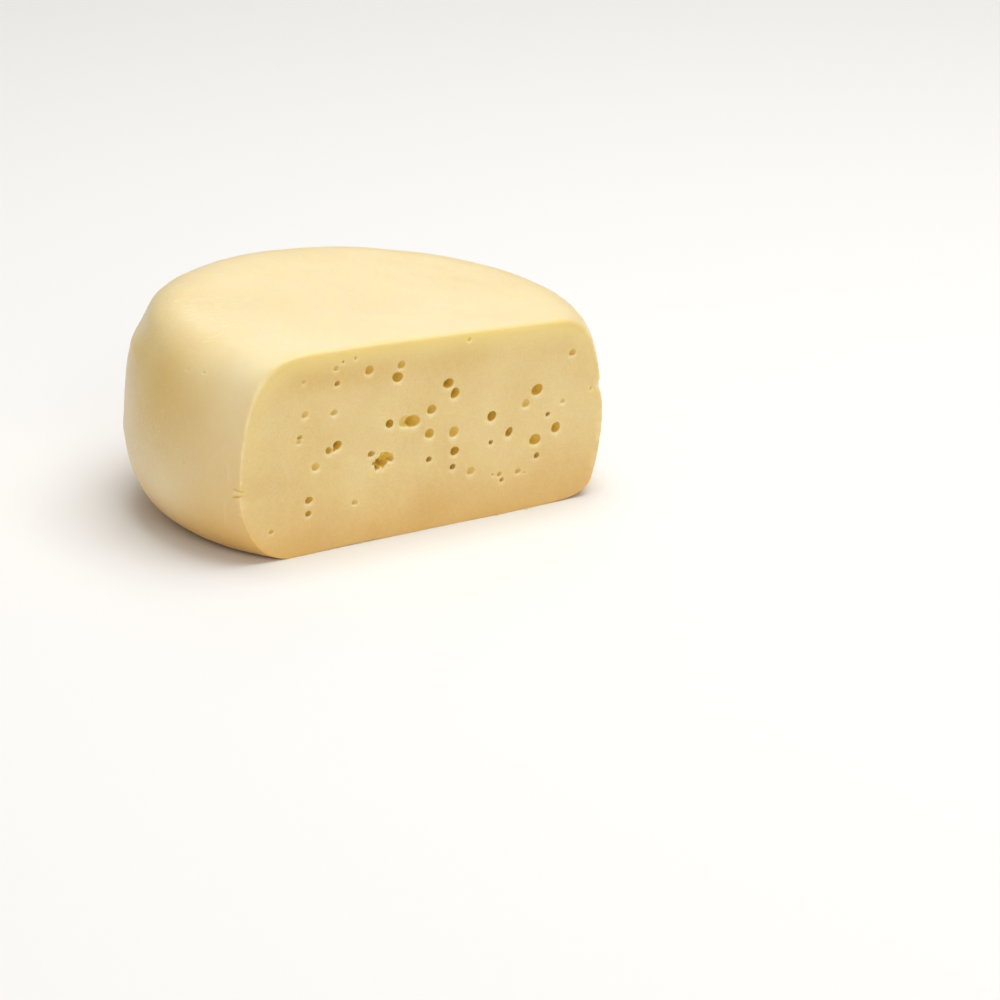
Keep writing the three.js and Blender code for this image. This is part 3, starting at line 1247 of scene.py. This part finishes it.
@dataclass(frozen=True)
class Mark:
    """One small mark along a line on the surface, or at a point."""

    path: Path
    kind: MarkKind
    through_mm: float = 4.0  # how far above or below the surface the line may lie

    def distance(self, points: np.ndarray, normals: np.ndarray | None = None) -> np.ndarray:
        """Distance of points from the mark's line.

        Args:
            points: Places in millimetres, one row each.
            normals: Surface directions, along which distance doesn't count.

        Returns:
            One distance for each point.
        """
        corners = np.array(self.path)
        best = np.full(len(points), np.inf)
        for start, end in zip(corners, corners[1:] if len(corners) > 1 else corners):
            step = end - start
            away = points - start
            share = np.clip(away @ step / max(step @ step, TINY), 0, 1)
            off = away - share[:, None] * step
            if normals is not None:
                height = (off * normals).sum(axis=1, keepdims=True)
                off = np.where(np.abs(height) < self.through_mm, off - height * normals, off)
            best = np.minimum(best, np.linalg.norm(off, axis=1))
        return best

    def strength(self, points: np.ndarray, normals: np.ndarray) -> np.ndarray:
        """How much of the mark shows at points: one on its line, fading out over its width."""
        half_width, _, _ = self.kind.value
        return bell(self.distance(points, normals), half_width)


@dataclass
class Cheese:
    """The cut wheel as one closed piece, with its relief and its finish."""

    wheel: Wheel = field(default_factory=Wheel)
    cut: CutFace = field(default_factory=CutFace)
    # Low relief, full on the skin: wavelength, height and seed
    relief: tuple[tuple[float, float, int], ...] = ((48.0, 0.14, 11), (17.0, 0.04, 12), (6.0, 0.008, 13))
    floor_mm: float = 0.01  # what lies lower stays flat on the floor
    # Strips along the cut and round marks where the mesh is refined, one after another
    edge_strips: tuple[float, ...] = (4.4, 2.7)
    mark_strips: tuple[float, ...] = (2.4, 1.5, 0.9)
    edge_reach: float = 7.0  # how far the edge's rounding and tones may reach back on the skin
    # Tolerance of the knife's plane, and the strip beside it where vertices this close are merged
    plane_tolerance: float = 1e-5
    merge_strip: float = 1.0
    merge_mm: float = 0.25
    # The rubbed shoulder: its middle, reach and strength
    scuff_place: Point = (-70.0, 20.0, 84.0)
    scuff_reach: float = 30.0
    scuff_strength: float = 0.6
    # Soft patches of painted light and shade: the finish value, the middle, the reach and the strength
    patches: tuple[tuple[str, Point, float, float], ...] = (
        # Painted warm shade on the left side, at the foot and on the back of the top
        ("warm_shade", (-95.0, 4.0, 62.0), 23.0, 1.0),
        ("warm_shade", (-95.0, -2.0, 44.0), 14.0, 0.6),
        ("warm_shade", (-88.0, 27.0, 70.0), 18.0, 0.9),
        ("warm_shade", (-84.0, -35.0, 8.0), 20.0, 0.6),
        ("warm_shade", (-88.0, -18.0, 7.0), 14.0, 0.5),
        ("warm_shade", (-62.0, 36.0, 87.0), 22.0, 0.3),
        # Painted highlight and sheen on the front of the top, the shoulder, the left side and by the upper
        # left edge
        ("pale", (5.0, -38.0, 83.0), 34.0, 0.16),
        ("pale", (-45.0, -34.0, 84.0), 26.0, 0.16),
        ("pale", (-82.0, -22.0, 79.0), 12.0, 0.2),
        ("pale", (-96.4, -3.0, 23.0), 15.0, 0.55),
        ("pale", (-96.2, 10.0, 29.0), 14.0, 0.28),
        ("pale", (-79.0, -41.0, 81.0), 15.0, 0.5),
        ("pale", (-85.0, -41.0, 66.0), 13.0, 0.3),
        # Painted sheen flecks low on the left side
        ("scuff_and_sheen", (-95.0, 12.0, 40.0), 26.0, 0.7),
    )
    # Curves by height: painted warm bounce light and shade towards the foot, of which the paste takes a
    # share, and the skin's dimples
    foot_by_height: Curve = ((0, 5, 10, 16, 26, 36, 60, 78), (1, 1, 0.82, 0.56, 0.3, 0.2, 0.2, 0))
    paste_foot: float = 0.68
    peel_by_height: Curve = ((66, 80), (1, 0.25))

    def __post_init__(self) -> None:
        """Gathers the marks."""
        self.marks = [Mark(path, kind) for kind, paths in MARK_PATHS.items() for path in paths]

    def refine(self, surface: bmesh.types.BMesh, chosen: np.ndarray) -> None:
        """Halves the edges between chosen vertices.

        Args:
            surface: The surface to refine.
            chosen: One truth value for each vertex.
        """
        surface.verts.index_update()
        edges = [e for e in surface.edges if chosen[e.verts[0].index] and chosen[e.verts[1].index]]
        bmesh.ops.subdivide_edges(surface, edges=edges, cuts=1, use_grid_fill=True)

    def trimmed_skin(self) -> bmesh.types.BMesh:
        """Cuts the wheel's surface at the knife's plane, and refines it along the cut and at the marks.

        Returns:
            The open surface, in millimetres about the wheel's axis.
        """
        points, faces = self.wheel.skin(self.cut.offset)
        mesh = bpy.data.meshes.new("skin")
        mesh.from_pydata(points.tolist(), [], faces)
        surface = bmesh.new()
        surface.from_mesh(mesh)
        bpy.data.meshes.remove(mesh)
        bmesh.ops.bisect_plane(
            surface,
            geom=surface.verts[:] + surface.edges[:] + surface.faces[:],
            dist=self.plane_tolerance,
            plane_co=(0, -self.cut.offset, 0),
            plane_no=(0, -1, 0),
            clear_outer=True,
        )
        near = [v for v in surface.verts if v.co.y < self.merge_strip - self.cut.offset]
        bmesh.ops.remove_doubles(surface, verts=near, dist=self.merge_mm)
        for strip in self.edge_strips:
            self.refine(surface, np.array([v.co.y < strip - self.cut.offset for v in surface.verts]))
        for strip in self.mark_strips:
            places = np.array([v.co[:] for v in surface.verts])
            self.refine(surface, np.min([mark.distance(places) for mark in self.marks], axis=0) < strip)
        surface.normal_update()
        return surface

    def border(self, surface: bmesh.types.BMesh) -> list[bmesh.types.BMVert]:
        """Walks round the open edge of the trimmed surface.

        Args:
            surface: The surface with one open edge.

        Returns:
            Its border's vertices in order, anticlockwise as the cut is seen.
        """
        edges = [e for e in surface.edges if e.is_boundary]
        following: dict[bmesh.types.BMVert, list[bmesh.types.BMVert]] = {}
        for edge in edges:
            for a, b in (edge.verts, reversed(edge.verts)):
                following.setdefault(a, []).append(b)
        start = edges[0].verts[0]
        loop = [start, following[start][0]]
        while loop[-1] is not start:
            ahead = [v for v in following[loop[-1]] if v is not loop[-2]]
            loop.append(ahead[0])
        loop.pop()
        flat = np.array([(v.co.x, v.co.z) for v in loop])
        turned = np.roll(flat, -1, axis=0)
        area = (flat[:, 0] * turned[:, 1] - turned[:, 0] * flat[:, 1]).sum()
        return loop if area > 0 else loop[::-1]

    def skin_form(self, points: np.ndarray, edge: CutEdge) -> tuple[np.ndarray, Values]:
        """Points and finish values of the skin.

        Args:
            points: Places on the trimmed skin, one row each.
            edge: The line where it meets the cut.

        Returns:
            Points with the rounded edge, and values by name with the share of the relief.
        """
        near = np.flatnonzero(points[:, 1] < self.edge_reach - self.cut.offset)
        gap, which = nearest_on_loop(points[near], edge.line)
        formed = points.copy()
        formed[near] += edge.roll(gap, which, on_skin=True)
        # Along the edge on the skin: the painted highlight, the painted glow and the painted shade
        pale, glow, shade = (np.zeros(len(points)) for _ in range(3))
        pale[near] = edge.edge_highlight(gap, which)
        glow[near] = edge.glow(gap, which, on_skin=True)
        shade[near] = edge.shade(gap, which)
        scuffed = bell(np.linalg.norm(points - self.scuff_place, axis=1), self.scuff_reach)
        return formed, no_finish(len(points)) | {
            "skin": np.ones(len(points)),
            "glow": glow,
            "pale": pale,
            "scuff_and_sheen": self.scuff_strength * scuffed,
            "edge_shade_and_band": shade,
            "peel": np.maximum(np.interp(points[:, 2], *self.peel_by_height), scuffed),
            "warm_shade": self.cut.warm_shade_share * shade,
            "relief": np.ones(len(points)),
        }

    def build(self, material: bpy.types.Material) -> bpy.types.Object:
        """Builds the closed mesh with its finish values.

        Args:
            material: The cheese's finish.

        Returns:
            The cheese, in the frame's place and in metres.
        """
        surface = self.trimmed_skin()
        loop = self.border(surface)
        surface.verts.index_update()
        edge = CutEdge(np.array([v.co[:] for v in loop]), np.array([v.normal[:] for v in loop]))
        places, cut_faces, source = self.cut.triangles(edge, self.marks)
        cut_points, cut_values = self.cut.form(places, edge)
        skin_points, skin_values = self.skin_form(np.array([v.co[:] for v in surface.verts]), edge)
        loop_index = np.array([v.index for v in loop])
        faces = [tuple(v.index for v in f.verts) for f in surface.faces]
        surface.free()
        fresh = source < 0
        index = np.where(fresh, len(skin_points) + np.cumsum(fresh) - 1, loop_index[source])
        points = np.vstack((skin_points, cut_points[fresh]))
        faces += [tuple(int(index[i]) for i in face) for face in cut_faces]
        values = {name: np.concatenate((row, cut_values[name][fresh])) for name, row in skin_values.items()}
        # Painted warm bounce light and shade, stronger towards the foot
        own = self.paste_foot + (1 - self.paste_foot) * values["skin"]
        values["foot"] = np.maximum(values["foot"], own * np.interp(points[:, 2], *self.foot_by_height))
        for name, place, reach, share in self.patches:
            near = bell(np.linalg.norm(points - place, axis=1), reach)
            values[name] = np.maximum(values[name], share * near * values["skin"])
        return self.make_piece(points, faces, values, material)

    def make_piece(
        self, points: np.ndarray, faces: list[Face], values: Values, material: bpy.types.Material
    ) -> bpy.types.Object:
        """Makes the mesh object, adds the relief and the marks and writes the finish values.

        Args:
            points: Vertices in millimetres about the wheel's axis.
            faces: Faces as indices.
            values: Finish values and the share of the relief by name, one for each vertex.
            material: The cheese's finish.

        Returns:
            The object.
        """
        piece = add_object("cheese_cut_wheel", points, faces, material)
        mesh = piece.data
        normals = np.zeros(len(points) * 3)
        mesh.vertices.foreach_get("normal", normals)
        normals = normals.reshape(-1, 3)
        rise = sum(height * ripple(points, size, seed) for size, height, seed in self.relief)
        rise = rise * values.pop("relief")
        for mark in self.marks:
            strength = mark.strength(points, normals)
            _, depth, paleness = mark.kind.value
            rise -= depth * strength
            # Scratches, streaks and flakes are pale of their own; a pit's lip takes a painted highlight, and
            # pits and creases take painted shade
            shade = "pale" if paleness > 0 else "deep"
            values[shade] = np.maximum(values[shade], abs(paleness) * strength)
        moved = points + normals * rise[:, None]
        moved[:, 2] = np.where(points[:, 2] < self.floor_mm, points[:, 2], np.clip(moved[:, 2], 0, None))
        mesh.vertices.foreach_set("co", in_frame(moved).ravel())
        for name, row in values.items():
            mesh.attributes.new(name, "FLOAT", "POINT").data.foreach_set("value", row.astype(np.float32))
        mesh.update()
        return piece


@dataclass(frozen=True)
class Crumbs:
    """Crumbs that dropped from the knife at the foot of the cut."""

    # Across from the wheel's axis, out from the cut, and width of each
    places: tuple[Point, ...] = (
        (33.0, 1.3, 0.6), (34.2, 0.9, 0.9), (47.0, 1.4, 0.6), (48.3, 0.9, 1.1), (49.4, 1.6, 0.5),
    )
    # Lumps on a ball of width one: their height, their wavelength and the first draw
    roughness: float = 0.16
    lump_size: float = 0.8
    seed: int = 41
    flatness: float = 0.6
    subdivisions: int = 3

    def build(self, cut_offset: float, material: bpy.types.Material) -> bpy.types.Object:
        """Makes the crumbs as one mesh of small lumps on the floor.

        Args:
            cut_offset: Distance of the cut from the wheel's axis.
            material: The cheese's finish.

        Returns:
            The crumbs, in the frame's place and in metres.
        """
        surface = bmesh.new()
        # A ball of width one
        bmesh.ops.create_icosphere(surface, subdivisions=self.subdivisions, radius=0.5)
        surface.verts.index_update()
        ball = np.array([v.co[:] for v in surface.verts])
        ball_faces = [tuple(v.index for v in f.verts) for f in surface.faces]
        surface.free()
        rows, faces = [], []
        for number, (across, out, width) in enumerate(self.places):
            lumps = ripple(ball, self.lump_size, self.seed + number)
            lump = ball * width * (1 + self.roughness * lumps)[:, None]
            lump[:, 2] *= self.flatness
            lump[:, 2] -= lump[:, 2].min()
            rows.append(lump + (across, -cut_offset - out, 0))
            faces += [tuple(i + number * len(ball) for i in face) for face in ball_faces]
        return add_object("cut_crumbs", in_frame(np.vstack(rows)), faces, material)


@dataclass(frozen=True)
class Softbox:
    """One square light that looks at the cheese, in metres and watts."""

    name: str
    place: Point
    size: float
    power: float
    aim: Point = (0.0, 0.0, 0.05)

    def build(self) -> None:
        """Hangs the light."""
        data = bpy.data.lights.new(self.name, "AREA")
        data.size = self.size
        data.energy = self.power
        lamp = bpy.data.objects.new(self.name, data)
        lamp.location = self.place
        lamp.rotation_euler = (Vector(self.aim) - Vector(self.place)).to_track_quat("-Z", "Y").to_euler()
        bpy.context.scene.collection.objects.link(lamp)


@dataclass(frozen=True)
class Studio:
    """A white sweep in a pale surround, lit by an overhead softbox, a front fill and a backdrop light."""

    floor_size: float = 8.0
    surround: str = "#ffffff"
    surround_strength: float = 0.31
    lights: tuple[Softbox, ...] = (
        Softbox("overhead_softbox", (0.35, -0.1, 1.7), 1.5, 26.1),
        Softbox("front_fill", (-0.7, -2.0, 1.1), 1.2, 15.0),
        Softbox("lit_backdrop", (1.3, 2.0, 1.7), 1.6, 7.0),
    )
    floor_finish: FloorFinish = field(default_factory=FloorFinish)

    def build_floor(self) -> bpy.types.Object:
        """Lays the floor that the cheese stands on.

        Returns:
            The floor.
        """
        half = self.floor_size / 2
        corners = np.array([(-half, -half, 0), (half, -half, 0), (half, half, 0), (-half, half, 0)])
        return add_object("floor", corners, [(0, 1, 2, 3)], self.floor_finish.material())

    def build(self) -> bpy.types.Object:
        """Sets the surround, the softboxes and the floor.

        Returns:
            The floor, which isn't part of the cheese.
        """
        world = bpy.data.worlds.new("studio")
        world.use_nodes = True
        world.node_tree.nodes.clear()
        sky = add_node(
            world.node_tree, "ShaderNodeBackground", None,
            {"Color": linear(self.surround), "Strength": self.surround_strength},
        )
        add_node(world.node_tree, "ShaderNodeOutputWorld", None, None, {"Surface": sky.outputs["Background"]})
        scene = bpy.context.scene
        scene.world = world
        scene.view_settings.view_transform = "Standard"
        for light in self.lights:
            light.build()
        return self.build_floor()


@dataclass(frozen=True)
class PhotoCamera:
    """The photograph's camera: a long lens, a little above the cheese and to the left of its cut."""

    azimuth: float = -33.24
    elevation: float = 18.7
    distance: float = 2017.0
    # The picture's width, the focal length and where the foot of the wheel's axis falls, in pixels
    frame_px: float = 1000.0
    focal_px: float = 4930.0
    axis_foot_px: tuple[float, float] = (365.8, 498.9)
    sensor_mm: float = 36.0

    def build(self, axis_foot: Vector) -> bpy.types.Object:
        """Places the camera so that the foot of the wheel's axis falls on its pixel.

        Args:
            axis_foot: Where the wheel's axis meets the floor, in metres.

        Returns:
            The camera.
        """
        turn, rise = math.radians(self.azimuth), math.radians(self.elevation)
        back = Vector((math.sin(turn) * math.cos(rise), -math.cos(turn) * math.cos(rise), math.sin(rise)))
        right = Vector((math.cos(turn), math.sin(turn), 0))
        up = back.cross(right)
        column, row = self.axis_foot_px
        across = (column - self.frame_px / 2) / self.focal_px
        over = (self.frame_px / 2 - row) / self.focal_px
        data = bpy.data.cameras.new("photo_camera")
        data.sensor_width = self.sensor_mm
        data.lens = self.sensor_mm * self.focal_px / self.frame_px
        camera = bpy.data.objects.new("photo_camera", data)
        turned = Matrix((right, up, back)).transposed().to_4x4()
        away = (back - right * across - up * over) * self.distance * MM
        camera.matrix_world = Matrix.Translation(axis_foot + away) @ turned
        bpy.context.scene.collection.objects.link(camera)
        bpy.context.scene.camera = camera
        return camera


def main() -> None:
    """Builds the cheese, its crumbs, its studio and its camera."""
    logging.basicConfig(level=logging.INFO, format="%(name)s: %(message)s")
    curd = CheeseFinish().material()
    cheese = Cheese()
    piece = cheese.build(curd)
    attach(piece, BODY)
    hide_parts(NODE)
    crumbs = Crumbs().build(cheese.cut.offset, curd)
    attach(crumbs, BODY)
    for made in (piece, crumbs):
        triangles = sum(len(face.vertices) - 2 for face in made.data.polygons)
        LOG.info("%s: %d vertices, %d triangles", made.name, len(made.data.vertices), triangles)
    floor = Studio().build()
    LOG.info("%s: studio floor", floor.name)
    camera = PhotoCamera().build(Vector(in_frame(np.zeros((1, 3)))[0]))
    LOG.info("%s: %.0f mm lens", camera.name, camera.data.lens)


if __name__ == "__main__":
    main()
